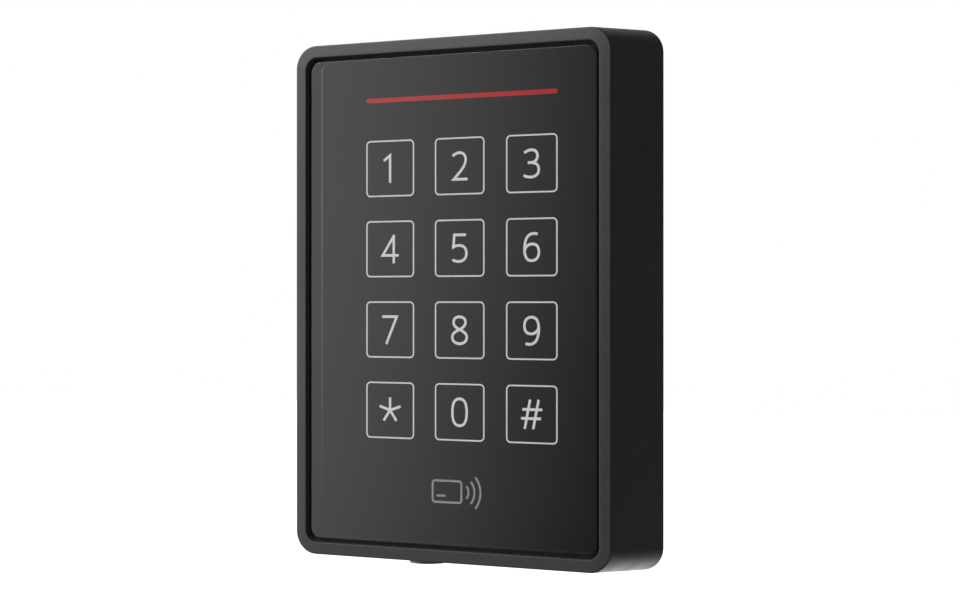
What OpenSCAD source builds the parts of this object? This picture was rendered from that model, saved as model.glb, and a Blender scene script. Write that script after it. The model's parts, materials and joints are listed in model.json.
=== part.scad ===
// Keypad access reader for a wall. A flared housing carries a smoked touch panel and the sealed
// electronics. It hangs on a wall bracket by two pins and is held by one screw underneath.
// X is to the right, Z is up and Y points into the wall. The origin is the centre of the wall face.
// Places along Y are given as depths behind the front face of the housing.

/* [Housing] */
// Width of the housing at its front face
front_w = 84; // [83:0.5:88]
// Height of the housing at its front face
front_h = 121; // [120:0.5:125]
// Depth of the housing from its front face to its rear edge
housing_d = 24; // [24:0.25:26]
// How far each side leans out between the front face and the rear edge
flare = 1.67; // [1.2:0.01:2]
// Radius of the outer corners
corner_r = 5.4; // [4.5:0.1:7]
// Radius of the edge round the front face
edge_r = 0.4; // [0.2:0.05:0.6]
// How far the rim falls away between its inner and its outer edge
rim_fall = 0.15; // [0.05:0.05:0.3]
// Gap between the rear edge of the housing and the wall
wall_gap = 1; // [0.8:0.1:1.5]

/* [Front panel] */
// Width of the rim round the front cover
rim_w = 2.85; // [2.5:0.05:3]
// Gap between the rim and the front cover
cover_gap = 1; // [0.8:0.1:1.4]
// How far the front cover sits behind the front face
cover_recess = 0.8; // [0.5:0.1:1.2]
// Thickness of the front cover's face
cover_t = 2.5; // [2:0.1:3]
// Depth of the printed legend layer behind the front face
legend_d = 5.8; // [5.5:0.1:6.5]
// Length of the light bar
bar_l = 51.4; // [45:0.2:54]
// Height of the light bar
bar_h = 1; // [0.8:0.1:1.4]
// Height of the light bar above the middle of the panel
bar_z = 47.3; // [47:0.1:48]

/* [Keypad] */
// Distance between neighbouring keys, both ways
key_pitch = 19.05; // [18:0.05:19.5]
// Height of the top row of keys above the middle of the panel
top_row_z = 31.1; // [30.5:0.1:31.5]
// Side of each touch electrode
electrode_w = 14; // [11:0.5:15]

/* [Wall bracket] */
// Thickness of the bracket plate
plate_t = 1.8; // [1.6:0.1:2]
// Distance between the two holes for a single-gang box
gang_spacing = 83.3; // [83:0.1:84]
// Distance between the two holes for a round wall box
wall_box_spacing = 60; // [58:0.5:62]
// Distance across between the four corner holes
corner_hole_x = 62; // [60:0.5:63]
// Distance up between the four corner holes
corner_hole_z = 94; // [90:0.5:95]
// Radius of the four corner holes
corner_hole_r = 2.25; // [2:0.05:2.5]
// Width of the cable opening
cable_w = 30; // [26:0.5:32]
// Height of the cable opening
cable_h = 26; // [24:0.5:27]

/* [Securing screw] */
// Place of the screw to the right of the middle
screw_x = -13.3; // [-16:0.1:-12]
// Nominal radius of the screw's thread
screw_r = 1.95; // [1.9:0.05:2]
// Radius of the screw's flat head
screw_head_r = 4.55; // [4.3:0.05:4.7]

/* [Hidden] */
$fn = 64;
hull_fn = 32;

// Play between a pin or a shank and its hole, and between faces that only just meet.
fit = 0.05;
// Play of a screw in a plain hole.
screw_play = 0.15;
// How far a cut runs past the solid it cuts, and how far a rib or boss runs into its wall.
past = 1;
sink = 0.1;
slice_t = 0.01;

// Depths behind the front face, from the front to the wall.
total_d = housing_d + wall_gap;
legend_t = 0.25;
guide_d = legend_d + legend_t;
guide_t = 1;
electrode_t = 0.1;
sensor_d = guide_d + guide_t + fit + electrode_t;
sensor_t = 0.8;
sensor_back = sensor_d + sensor_t;
tape_t = 0.2;
pocket_d = sensor_back + tape_t;
ledge_t = 1.5;
ledge_back = pocket_d + ledge_t;
board_d = ledge_back + 2;
board_t = 1.6;
board_back = board_d + board_t;
plate_d = total_d - plate_t;
rear_cover_t = 1.6;
rear_cover_back = plate_d - 1.4;
rear_cover_d = rear_cover_back - rear_cover_t;
seal_t = 0.6;
seal_d = rear_cover_d - seal_t;

// Outlines, as full widths and heights.
pocket_w = front_w - 2 * rim_w;
pocket_h = front_h - 2 * rim_w;
pocket_r = corner_r - rim_w + 0.4;
cover_w = pocket_w - 2 * cover_gap;
cover_h = pocket_h - 2 * cover_gap;
cover_r = 2.5;
cover_seal_drop = 1;
skirt_t = 1;
foot_t = 1;
layer_gap = 0.6;
layer_w = pocket_w - 2 * layer_gap;
layer_h = pocket_h - 2 * layer_gap;
layer_r = 2;
rear_w = front_w - 3.2;
rear_h = front_h - 3;
rear_r = 3.6;
ledge_open_w = 52;
ledge_open_h = 76;
ledge_open_r = 3;
wall_t = 1.5;
bay_w = rear_w - 2.8;
bay_h = rear_h - 15;
bay_r = 2.6;
inner_w = bay_w - 2 * wall_t;
inner_h = bay_h - 2 * wall_t;
guide_w = layer_w - 5;
guide_h = layer_h - 6;
sensor_w = layer_w - 0.7;
sensor_h = layer_h - 1;
tape_w = sensor_w - 1;
tape_h = sensor_h - 1;
tape_open_in = 2;
board_w = inner_w - 4;
board_h = inner_h - 3;
board_r = 2;

// Antenna ring round the inside of the bay, behind the ledge.
antenna_w = inner_w - 1.4;
antenna_h = inner_h - 1.4;
antenna_r = 2;
antenna_t = 0.8;
antenna_ring = 3.3;
antenna_back = ledge_back + antenna_t;
coil_turns = 4;
coil_pitch = 0.7;
coil_line = 0.4;
coil_in = 0.3;
coil_join_w = 2;
coil_t = 0.1;
ferrite_t = 0.3;

// Keys: three columns and four rows.
key_x = [for (i = [-1:1]) i * key_pitch];
key_z = [for (j = [0:3]) top_row_z - j * key_pitch];
electrode_r = 1;
led_drop = key_pitch / 2;
led_w = 1.6;
led_h = 0.8;
led_t = 0.6;
led_play = 0.5;
bar_led_pitch = 10.5;
bar_flange_w = bar_l + 1.2;
bar_flange_h = 2.2;
bar_flange_t = 0.4;

// Screws that hold the rear cover and the main board.
cover_boss_r = 2.6;
cover_boss_z = rear_h / 2 - 4;
cover_boss_x = front_w / 2 - 7.5;
cover_boss_at = [for (x = [-cover_boss_x, 0, cover_boss_x], s = [-1, 1]) [x, s * cover_boss_z]];
cover_screw_r = 1.25;
cover_screw_head_r = 2.2;
cover_screw_l = 9;
cover_lip = 0.4;
ear_r = 3;
ear_l = 4;
board_boss_r = 2.3;
board_boss_x = 31;
board_boss_z = 43;
board_boss_at = [for (sx = [-1, 1], sz = [-1, 1]) [sx * board_boss_x, sz * board_boss_z]];
board_screw_r = 1.2;
board_screw_head_r = 2.1;
board_screw_head_t = 1.3;
blind_t = 0.4;
rib_sink = 0.5;
// Cross drives: length, width and depth of each arm.
cross_l = 2.6;
cross_w = 0.6;
cross_depth = 0.6;

// Parts on the boards: places as [x, z], widths and heights as [w, h], and thicknesses.
thin_chip_t = 0.9;
touch_chip_at = [0, 10];
touch_chip_w = 7;
link_at = [0, -30];
link_socket = [17, 4.4];
link_socket_t = 1.9;
link_plug = [16, 3.8];
chip_mark_in = 1.1;
chip_mark_r = 0.4;
mcu_at = [10, 20];
mcu_w = 10;
mcu_t = 1.4;
reader_chip_at = [-8, 18];
reader_chip_w = 7;
radio_at = [16, 38];
radio_size = [18, 14];
radio_r = 0.6;
radio_t = 2;
capacitor_x = -29;
capacitor_z = [2, 12];
capacitor_r = 3.15;
capacitor_t = 5.8;
inductor_at = [-18, 4];
inductor_size = [6, 6];
inductor_r = 0.8;
inductor_t = 3;
crystal_at = [21, 20];
crystal_size = [3.2, 2.5];
crystal_r = 0.3;
crystal_t = 0.8;

// Terminal block: ten poles, with the plug pulled off downwards.
poles = 10;
pole_pitch = 3.5;
pole_x = [for (i = [0:poles - 1]) (i - (poles - 1) / 2) * pole_pitch];
header_top = -14;
header_bottom = -22;
header_w = 39;
header_wall = 1.2;
header_back = rear_cover_d - 0.2;
plug_w = header_w - 2 * header_wall - 0.4;
plug_gap = 0.2;
plug_bottom = -33;
nose_top = header_top - header_wall - 0.6;
nose_front = board_back + header_wall + plug_gap;
nose_back = nose_front + 3.9;
pin_plane = (nose_front + nose_back) / 2;
contact_r = 0.5;
pin_recess = 0.6;
pin_proud = 0.2;
plug_front = board_back + 0.4;
wire_r = 1.25;
wire_depth = 5;
clamp_r = 1.25;
clamp_sink = 0.5;
clamp_slot_l = 3;
clamp_slot_w = 0.5;
well_w = header_w + 6;
well_top = header_top + 2;
well_bottom = -45;
well_wall = 1.2;
well_r = 2;
well_gasket_t = 1;
well_z = (well_top + well_bottom) / 2;
well_h = well_top - well_bottom;

// Tamper switch, which looks through the rear cover at the bracket.
tamper_x = 30.5;
tamper_z = -20;
tamper_r = 1.5;
tamper_body_w = 6;
tamper_body_back = board_back + 3;
tamper_floor_t = 0.5;
tamper_collar_r = 2.5;
tamper_collar_d = rear_cover_d - 0.8;
tamper_collar_t = 0.5;
tamper_hole_r = 1.8;
tamper_tip = plate_d - 0.1;
tamper_foot = board_back + 1.8;
spring_r = 2;
spring_wire_r = 0.2;
spring_turns = 3.5;
spring_sides = 8;
spring_steps = 14;

// Sound port in the rear cover, behind the buzzer.
buzzer_x = -22;
buzzer_z = 34;
buzzer_r = 6;
buzzer_t = 5.4;
buzzer_hole_r = 1.2;
buzzer_hole_depth = 2.4;
port_r = 1.5;
vent_r = 4;
vent_t = 0.2;

// Hanging pins at the top: places along Y and Z, and the hooks that hold them.
hinge_r = 1.2;
hinge_y = -plate_t - 1.1;
hinge_z = rear_h / 2 - 2.5;
hook_x = 24.5;
hook_w = 7;
hook_wall = 1.5;
hook_drop = 3.8;
hook_rise = 1.1;
rib_t = 1.1;
rib_gap = 0.3;
rib_r = 1.85;
pin_l = hook_w + 2 * (rib_t + rib_gap);
notch_w = hook_w + 2 * (rib_t + 3 * rib_gap);
notch_bottom = hinge_z - rib_r - rib_gap;

// Bracket plate, its lug underneath and the securing screw.
plate_w = rear_w - 2;
plate_h = rear_h - 3;
plate_r = 3;
gasket_in = 1;
gasket_w = 1.6;
gasket_t = 1;
gasket_r = 2.4;
gasket_drop = 4;
cable_z = -21;
slot_r = 2.1;
slot_l = 8.4;
slot_head_r = 4.1;
slot_head_t = 0.7;
screw_y = -11;
lug_w = 11;
lug_top = -rear_h / 2 + 5;
lug_bottom = -rear_h / 2 + 1;
lug_front = screw_y - 3.6;
insert_r = 2.8;
seat_z = -front_h / 2 - 0.2;
washer_r = 4;
washer_t = 0.6;
washer_top = seat_z - fit;
head_top = washer_top - washer_t - fit;
head_t = 1;
shank_top = lug_top + 0.4;
wall_slot_r = 2.2;
wall_cut_h = 5;
recess_r = screw_head_r + 0.35;
// Six-lobed drive with a post in its middle.
drive_r = 1.4;
drive_lobe_r = 0.35;
drive_post_r = 0.4;
drive_depth = 0.7;

// A rectangle with round corners, in the plane.
module rounded_rect(w, h, r) {
    square([w, h - 2 * r], center = true);
    square([w - 2 * r, h], center = true);
    for (sx = [-1, 1], sz = [-1, 1])
        translate([sx * (w / 2 - r), sz * (h / 2 - r)])
            circle(r);
}

// A frame of wall thickness t inside a rounded rectangle.
module frame_2d(w, h, r, t) {
    difference() {
        rounded_rect(w, h, r);
        rounded_rect(w - 2 * t, h - 2 * t, max(r - t, 0.5));
    }
}

// A slot with round ends and half width r, of end-to-end length l, along X or along Z.
module slot_2d(l, r, along_x) {
    turn = along_x ? 0 : 90;
    rotate(turn) {
        square([l - 2 * r, 2 * r], center = true);
        for (s = [-1, 1])
            translate([s * (l / 2 - r), 0])
                circle(r);
    }
}

// A plane shape (x to the right, y up) as a layer between two depths behind the front face.
module layer(d0, d1) {
    translate([0, d1 - total_d, 0])
        rotate([90, 0, 0])
            linear_extrude(d1 - d0)
                children();
}

// A disc of radius r at (x, z) between two depths.
module disc(x, z, r, d0, d1) {
    translate([x, d1 - total_d, z])
        rotate([90, 0, 0])
            cylinder(h = d1 - d0, r = r);
}

// A rectangular block centred at (x, z) between two depths.
module block(x, z, w, h, d0, d1) {
    translate([x - w / 2, d0 - total_d, z - h / 2])
        cube([w, d1 - d0, h]);
}

// The outside of the housing: a rim that falls away outwards, a rounded front edge, leaning sides
// and a small edge at the back. Each slice is given as its depth and how far out it lies.
module housing_skin() {
    crest = [[0, edge_r - rim_w]];
    front = [for (a = [0:22.5:90]) [rim_fall + edge_r * (1 - sin(a)), -edge_r * (1 - cos(a))]];
    back = [[housing_d - edge_r, flare], [housing_d - slice_t, flare - edge_r]];
    hull()
        for (s = concat(crest, front, back))
            layer(s[0], s[0] + slice_t)
                rounded_rect(front_w + 2 * s[1], front_h + 2 * s[1], corner_r + min(s[1], 0),
                    $fn = hull_fn);
}

// The two ribs that hold each hanging pin.
module pin_ribs() {
    for (sx = [-1, 1], side = [-1, 1])
        translate([sx * hook_x + side * (hook_w / 2 + rib_gap + rib_t / 2) - rib_t / 2, 0, 0])
            rotate([90, 0, 90])
                linear_extrude(rib_t) {
                    translate([hinge_y, hinge_z])
                        circle(rib_r);
                    translate([hinge_y - rib_r, hinge_z])
                        square([2 * rib_r, rear_h / 2 - hinge_z + rib_sink]);
                }
}

// The slot in the bottom wall that lets the securing screw pass, and the flat seat of its washer.
module screw_cuts() {
    rear_l = past - screw_y;
    below = -front_h / 2 - flare - past;
    translate([screw_x, screw_y, below])
        cylinder(h = wall_cut_h + flare, r = wall_slot_r);
    translate([screw_x - wall_slot_r, screw_y, below])
        cube([2 * wall_slot_r, rear_l, wall_cut_h + flare]);
    translate([screw_x, screw_y, seat_z - wall_cut_h])
        cylinder(h = wall_cut_h, r = recess_r);
    translate([screw_x - recess_r, screw_y, seat_z - wall_cut_h])
        cube([2 * recess_r, rear_l, wall_cut_h]);
}

module front_housing() {
    color([0.09, 0.09, 0.09])
        difference() {
            union() {
                difference() {
                    housing_skin();
                    layer(-past, pocket_d)
                        rounded_rect(pocket_w, pocket_h, pocket_r);
                    layer(ledge_back, total_d)
                        rounded_rect(rear_w, rear_h, rear_r);
                    layer(pocket_d - past, ledge_back + past)
                        rounded_rect(ledge_open_w, ledge_open_h, ledge_open_r);
                }
                layer(ledge_back - sink, seal_d)
                    frame_2d(bay_w, bay_h, bay_r, wall_t);
                for (p = cover_boss_at)
                    disc(p[0], p[1], cover_boss_r, ledge_back - sink, rear_cover_d);
                for (p = board_boss_at)
                    disc(p[0], p[1], board_boss_r, ledge_back - sink, board_d);
                pin_ribs();
            }
            for (p = cover_boss_at)
                disc(p[0], p[1], cover_screw_r + fit, rear_cover_back - cover_screw_l - past, total_d);
            for (p = board_boss_at)
                disc(p[0], p[1], board_screw_r + fit, pocket_d + blind_t, total_d);
            for (sx = [-1, 1])
                translate([sx * hook_x - pin_l, hinge_y, hinge_z])
                    rotate([0, 90, 0])
                        cylinder(h = 2 * pin_l, r = hinge_r + fit / 2);
            screw_cuts();
        }
}

// A shallow dish: its skirt reaches back to the legend sheet and ends in a small foot.
module front_cover() {
    color([0.10, 0.10, 0.105, 0.6])
        difference() {
            union() {
                layer(cover_recess, legend_d)
                    rounded_rect(cover_w, cover_h, cover_r);
                layer(legend_d - foot_t, legend_d)
                    rounded_rect(layer_w, layer_h, layer_r);
            }
            layer(cover_recess + cover_t, legend_d + past)
                rounded_rect(cover_w - 2 * skirt_t, cover_h - 2 * skirt_t, cover_r - skirt_t);
        }
}

// Fills the gap round the front cover and its foot, up to a little below the cover's face.
module cover_gasket() {
    color([0.03, 0.03, 0.03])
        difference() {
            layer(cover_recess + cover_seal_drop, legend_d)
                rounded_rect(pocket_w - fit, pocket_h - fit, pocket_r);
            layer(0, legend_d)
                rounded_rect(cover_w + fit, cover_h + fit, cover_r);
            layer(legend_d - foot_t - fit, legend_d + past)
                rounded_rect(layer_w + fit, layer_h + fit, layer_r);
        }
}

module legend_sheet() {
    color([0.07, 0.07, 0.075])
        layer(legend_d, guide_d)
            difference() {
                rounded_rect(layer_w, layer_h, layer_r);
                translate([0, bar_z])
                    slot_2d(bar_l + 2 * fit, bar_h / 2 + fit, true);
            }
}

module light_bar_lens() {
    color([0.69, 0.25, 0.26])
        union() {
            layer(legend_d, guide_d + fit)
                translate([0, bar_z])
                    slot_2d(bar_l, bar_h / 2, true);
            block(0, bar_z, bar_flange_w, bar_flange_h, guide_d, guide_d + bar_flange_t);
        }
}

module light_guide() {
    color([0.85, 0.88, 0.9])
        difference() {
            layer(guide_d, guide_d + guide_t)
                rounded_rect(guide_w, guide_h, layer_r);
            block(0, bar_z, bar_flange_w + 4 * fit, bar_flange_h + 4 * fit, guide_d - past, sensor_d);
            for (x = key_x, z = key_z)
                block(x, z + led_drop, led_w + 2 * led_play, led_h + 2 * led_play, guide_d - past,
                    sensor_d);
        }
}

module key_leds() {
    color([0.95, 0.93, 0.8])
        for (x = key_x, z = key_z)
            block(x, z + led_drop, led_w, led_h, sensor_d - led_t, sensor_d);
}

module bar_leds() {
    color([0.9, 0.3, 0.25])
        for (i = [-2:2])
            block(i * bar_led_pitch, bar_z, led_w, led_h, sensor_d - led_t, sensor_d);
}

module touch_electrodes() {
    color([0.72, 0.45, 0.2])
        for (x = key_x, z = key_z)
            layer(sensor_d - electrode_t, sensor_d)
                translate([x, z])
                    rounded_rect(electrode_w, electrode_w, electrode_r);
}

module sensor_board() {
    color([0.05, 0.25, 0.13])
        layer(sensor_d, sensor_back)
            rounded_rect(sensor_w, sensor_h, layer_r);
}

module touch_controller() {
    color([0.06, 0.06, 0.06])
        block(touch_chip_at[0], touch_chip_at[1], touch_chip_w, touch_chip_w, sensor_back,
            sensor_back + thin_chip_t);
}

module sensor_tape() {
    color([0.85, 0.85, 0.8])
        layer(sensor_back, pocket_d)
            difference() {
                rounded_rect(tape_w, tape_h, layer_r);
                rounded_rect(ledge_open_w + 2 * tape_open_in, ledge_open_h + 2 * tape_open_in,
                    ledge_open_r);
            }
}

module antenna_board() {
    color([0.05, 0.25, 0.13])
        layer(ledge_back, antenna_back)
            frame_2d(antenna_w, antenna_h, antenna_r, antenna_ring);
}

// The turns of the coil, with the track that joins them.
module antenna_coil() {
    color([0.72, 0.45, 0.2])
        layer(antenna_back, antenna_back + coil_t) {
            for (i = [0:coil_turns - 1])
                frame_2d(antenna_w - 2 * (coil_in + i * coil_pitch),
                    antenna_h - 2 * (coil_in + i * coil_pitch), antenna_r - i * coil_in, coil_line);
            translate([-coil_join_w / 2, -antenna_h / 2 + coil_in])
                square([coil_join_w, (coil_turns - 1) * coil_pitch + coil_line]);
        }
}

module ferrite_sheet() {
    color([0.2, 0.19, 0.18])
        layer(antenna_back + coil_t, antenna_back + coil_t + ferrite_t)
            frame_2d(antenna_w, antenna_h, antenna_r, antenna_ring);
}

module board_socket() {
    color([0.8, 0.78, 0.7])
        block(link_at[0], link_at[1], link_socket[0], link_socket[1], sensor_back,
            sensor_back + link_socket_t);
}

module board_plug() {
    color([0.1, 0.1, 0.1])
        block(link_at[0], link_at[1], link_plug[0], link_plug[1], sensor_back + link_socket_t,
            board_d);
}

module main_board() {
    color([0.05, 0.25, 0.13])
        difference() {
            layer(board_d, board_back)
                rounded_rect(board_w, board_h, board_r);
            for (p = board_boss_at)
                disc(p[0], p[1], board_screw_r + screw_play, board_d - past, board_back + past);
        }
}

module board_screws() {
    head_back = board_back + board_screw_head_t;
    color([0.75, 0.75, 0.76])
        for (p = board_boss_at) {
            difference() {
                disc(p[0], p[1], board_screw_head_r, board_back, head_back);
                block(p[0], p[1], cross_l, cross_w, head_back - cross_depth, head_back + past);
                block(p[0], p[1], cross_w, cross_l, head_back - cross_depth, head_back + past);
            }
            disc(p[0], p[1], board_screw_r, ledge_back, board_back);
        }
}

// A flat chip package of width w and thickness t, with a round mark at its first pin.
module chip(at, w, t) {
    mark = w / 2 - chip_mark_in;
    difference() {
        block(at[0], at[1], w, w, board_back, board_back + t);
        disc(at[0] - mark, at[1] + mark, chip_mark_r, board_back + t - sink, board_back + t + past);
    }
}

// A rounded block on the back of the main board.
module board_part(at, size, r, t) {
    layer(board_back, board_back + t)
        translate(at)
            rounded_rect(size[0], size[1], r);
}

module microcontroller() {
    color([0.06, 0.06, 0.06])
        chip(mcu_at, mcu_w, mcu_t);
}

module reader_chip() {
    color([0.06, 0.06, 0.06])
        chip(reader_chip_at, reader_chip_w, thin_chip_t);
}

module radio_module() {
    color([0.75, 0.75, 0.76])
        board_part(radio_at, radio_size, radio_r, radio_t);
}

module buzzer() {
    top = board_back + buzzer_t;
    color([0.08, 0.08, 0.08])
        difference() {
            disc(buzzer_x, buzzer_z, buzzer_r, board_back, top);
            disc(buzzer_x, buzzer_z, buzzer_hole_r, top - buzzer_hole_depth, total_d);
        }
}

module bulk_capacitors() {
    color([0.78, 0.78, 0.8])
        for (z = capacitor_z)
            disc(capacitor_x, z, capacitor_r, board_back, board_back + capacitor_t);
}

module power_inductor() {
    color([0.25, 0.25, 0.26])
        board_part(inductor_at, inductor_size, inductor_r, inductor_t);
}

module crystal() {
    color([0.8, 0.8, 0.78])
        board_part(crystal_at, crystal_size, crystal_r, crystal_t);
}

module tamper_switch() {
    color([0.1, 0.1, 0.1])
        difference() {
            block(tamper_x, tamper_z, tamper_body_w, tamper_body_w, board_back, tamper_body_back);
            disc(tamper_x, tamper_z, tamper_r + fit, board_back + tamper_floor_t, total_d);
        }
}

module tamper_plunger() {
    color([0.85, 0.85, 0.85])
        union() {
            disc(tamper_x, tamper_z, tamper_r, tamper_foot, tamper_tip);
            disc(tamper_x, tamper_z, tamper_collar_r, tamper_collar_d,
                tamper_collar_d + tamper_collar_t);
        }
}

// A coil spring about the plunger: rings of points along a helix.
module tamper_spring() {
    rings = spring_turns * spring_steps;
    start = tamper_body_back + spring_wire_r + fit;
    length = tamper_collar_d - start - spring_wire_r - fit;
    points = [for (i = [0:rings], k = [0:spring_sides - 1])
        let (
            turn = i * 360 / spring_steps,
            round = k * 360 / spring_sides,
            reach = spring_r + spring_wire_r * cos(round)
        )
        [
            tamper_x + reach * cos(turn),
            start + length * i / rings + spring_wire_r * sin(round) - total_d,
            tamper_z - reach * sin(turn)
        ]];
    sides = [for (i = [0:rings - 1], k = [0:spring_sides - 1], half = [0, 1])
        let (next = (k + 1) % spring_sides, a = i * spring_sides, b = (i + 1) * spring_sides)
        half == 0 ? [a + k, a + next, b + next] : [a + k, b + next, b + k]];
    first_end = [for (k = [spring_sides - 1:-1:0]) k];
    last_end = [for (k = [0:spring_sides - 1]) rings * spring_sides + k];
    color([0.75, 0.75, 0.76])
        polyhedron(points, concat(sides, [first_end, last_end]));
}

module terminal_header() {
    mid = (header_top + header_bottom) / 2;
    color([0.1, 0.35, 0.2])
        difference() {
            block(0, mid, header_w, header_top - header_bottom, board_back, header_back);
            block(0, mid - header_wall, header_w - 2 * header_wall, header_top - header_bottom,
                board_back + header_wall, nose_back + plug_gap);
            for (x = pole_x)
                translate([x, pin_plane - total_d, header_top - header_wall - past])
                    cylinder(h = header_wall + 2 * past, r = contact_r + fit / 2);
        }
}

module header_pins() {
    color([0.85, 0.8, 0.6])
        for (x = pole_x)
            translate([x, pin_plane - total_d, header_bottom + pin_recess])
                cylinder(h = header_top - header_bottom - pin_recess + pin_proud, r = contact_r);
}

module terminal_plug() {
    body_top = header_bottom - plug_gap;
    body_mid = (body_top + plug_bottom) / 2;
    body_back = header_back - 2 * fit;
    color([0.1, 0.4, 0.22])
        difference() {
            union() {
                block(0, body_mid, plug_w, body_top - plug_bottom, plug_front, body_back);
                block(0, (nose_top + plug_bottom) / 2, plug_w, nose_top - plug_bottom,
                    nose_front, nose_back);
            }
            for (x = pole_x) {
                translate([x, pin_plane - total_d, plug_bottom - past])
                    cylinder(h = nose_top - plug_bottom + 2 * past, r = contact_r + 2 * fit);
                translate([x, pin_plane - total_d, plug_bottom - past])
                    cylinder(h = wire_depth + past, r = wire_r);
                disc(x, body_mid, clamp_r + fit, nose_back, total_d);
            }
        }
}

module terminal_screws() {
    body_mid = (header_bottom - plug_gap + plug_bottom) / 2;
    top = header_back - clamp_sink;
    color([0.75, 0.75, 0.76])
        for (x = pole_x)
            difference() {
                disc(x, body_mid, clamp_r, nose_back, top);
                block(x, body_mid, clamp_slot_l, clamp_slot_w, top - cross_depth, top + past);
            }
}

module terminal_gasket() {
    color([0.03, 0.03, 0.03])
        layer(board_back, board_back + well_gasket_t)
            translate([0, well_z])
                frame_2d(well_w + 2 * well_wall, well_h + 2 * well_wall, well_r, well_wall);
}

module rear_cover() {
    color([0.08, 0.08, 0.08])
        difference() {
            union() {
                layer(rear_cover_d, rear_cover_back) {
                    rounded_rect(bay_w + 2 * cover_lip, bay_h + 2 * cover_lip, bay_r);
                    for (p = cover_boss_at) {
                        translate(p)
                            circle(ear_r);
                        translate([p[0], p[1] - sign(p[1]) * ear_l / 2])
                            square([2 * ear_r, ear_l], center = true);
                    }
                }
                layer(board_back + well_gasket_t, rear_cover_d + sink)
                    translate([0, well_z])
                        frame_2d(well_w + 2 * well_wall, well_h + 2 * well_wall, well_r, well_wall);
            }
            layer(rear_cover_d - past, rear_cover_back + past)
                translate([0, well_z])
                    rounded_rect(well_w, well_h, well_r - well_wall);
            for (p = cover_boss_at) {
                disc(p[0], p[1], cover_screw_r + screw_play, rear_cover_d - past, total_d);
                translate([p[0], rear_cover_back - total_d, p[1]])
                    rotate([90, 0, 0])
                        cylinder(h = cover_screw_head_r - cover_screw_r + screw_play,
                            r1 = cover_screw_head_r + screw_play, r2 = cover_screw_r);
            }
            disc(buzzer_x, buzzer_z, port_r, rear_cover_d - past, total_d);
            disc(tamper_x, tamper_z, tamper_hole_r, rear_cover_d - past, total_d);
        }
}

module rear_seal() {
    color([0.03, 0.03, 0.03])
        layer(seal_d, rear_cover_d)
            frame_2d(bay_w, bay_h, bay_r, wall_t);
}

// Countersunk screws, flush with the back of the rear cover.
module rear_cover_screws() {
    head_t = cover_screw_head_r - cover_screw_r;
    color([0.75, 0.75, 0.76])
        for (p = cover_boss_at)
            difference() {
                union() {
                    disc(p[0], p[1], cover_screw_r, rear_cover_back - cover_screw_l, rear_cover_back);
                    translate([p[0], rear_cover_back - total_d, p[1]])
                        rotate([90, 0, 0])
                            cylinder(h = head_t, r1 = cover_screw_head_r, r2 = cover_screw_r);
                }
                block(p[0], p[1], cross_l, cross_w, rear_cover_back - cross_depth, total_d);
                block(p[0], p[1], cross_w, cross_l, rear_cover_back - cross_depth, total_d);
            }
}

module vent_membrane() {
    color([0.93, 0.93, 0.9])
        disc(buzzer_x, buzzer_z, vent_r, rear_cover_d - vent_t, rear_cover_d);
}

module hinge_pins() {
    color([0.75, 0.75, 0.76])
        for (sx = [-1, 1])
            translate([sx * hook_x - pin_l / 2, hinge_y, hinge_z])
                rotate([0, 90, 0])
                    cylinder(h = pin_l, r = hinge_r);
}

// A screw slot through the plate, with a shallow recess for the screw's head.
module fixing_slot(x, z, along_x) {
    layer(plate_d - past, total_d + past)
        translate([x, z])
            slot_2d(slot_l, slot_r, along_x);
    layer(plate_d - past, plate_d + slot_head_t)
        translate([x, z])
            slot_2d(slot_l + 2 * (slot_head_r - slot_r), slot_head_r, along_x);
}

// One hook: a block with a round seat, open at the top for the hanging pin.
module hook(x) {
    front = hinge_y - hinge_r - hook_wall;
    difference() {
        translate([x - hook_w / 2, front, hinge_z - hook_drop])
            cube([hook_w, -front, hook_drop + hook_rise]);
        translate([x - hook_w, hinge_y, hinge_z])
            rotate([0, 90, 0])
                cylinder(h = 2 * hook_w, r = hinge_r + fit);
        translate([x - hook_w, hinge_y - hinge_r - fit, hinge_z])
            cube([2 * hook_w, 2 * (hinge_r + fit), hook_rise + past]);
    }
}

module wall_bracket() {
    color([0.1, 0.1, 0.1])
        difference() {
            union() {
                difference() {
                    layer(plate_d, total_d)
                        rounded_rect(plate_w, plate_h, plate_r);
                    for (sx = [-1, 1])
                        translate([sx * hook_x - notch_w / 2, -total_d, notch_bottom])
                            cube([notch_w, 2 * total_d, plate_h]);
                }
                for (sx = [-1, 1])
                    hook(sx * hook_x);
                translate([screw_x - lug_w / 2, lug_front, lug_bottom])
                    cube([lug_w, -plate_t / 2 - lug_front, lug_top - lug_bottom]);
            }
            layer(plate_d - past, total_d + past)
                translate([0, cable_z])
                    rounded_rect(cable_w, cable_h, plate_r);
            for (s = [-1, 1]) {
                fixing_slot(0, s * gang_spacing / 2, false);
                fixing_slot(s * wall_box_spacing / 2, 0, true);
            }
            for (sx = [-1, 1], sz = [-1, 1])
                disc(sx * corner_hole_x / 2, sz * corner_hole_z / 2, corner_hole_r,
                    plate_d - past, total_d + past);
            layer(total_d - gasket_t, total_d + past)
                gasket_2d(0);
            translate([screw_x, screw_y, lug_bottom - past])
                cylinder(h = lug_top - lug_bottom + 2 * past, r = insert_r + fit / 2);
        }
}

// The path of the wall gasket, round the plate below the hooks and drawn in by less on each side.
module gasket_2d(less) {
    w = plate_w - 2 * gasket_in;
    h = plate_h - 2 * gasket_in - gasket_drop;
    inner = less - gasket_w;
    translate([0, -gasket_drop / 2])
        difference() {
            rounded_rect(w - 2 * less, h - 2 * less, gasket_r);
            rounded_rect(w + 2 * inner, h + 2 * inner, gasket_r - gasket_w / 2);
        }
}

module wall_gasket() {
    color([0.03, 0.03, 0.03])
        layer(total_d - gasket_t, total_d)
            gasket_2d(fit / 2);
}

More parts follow.
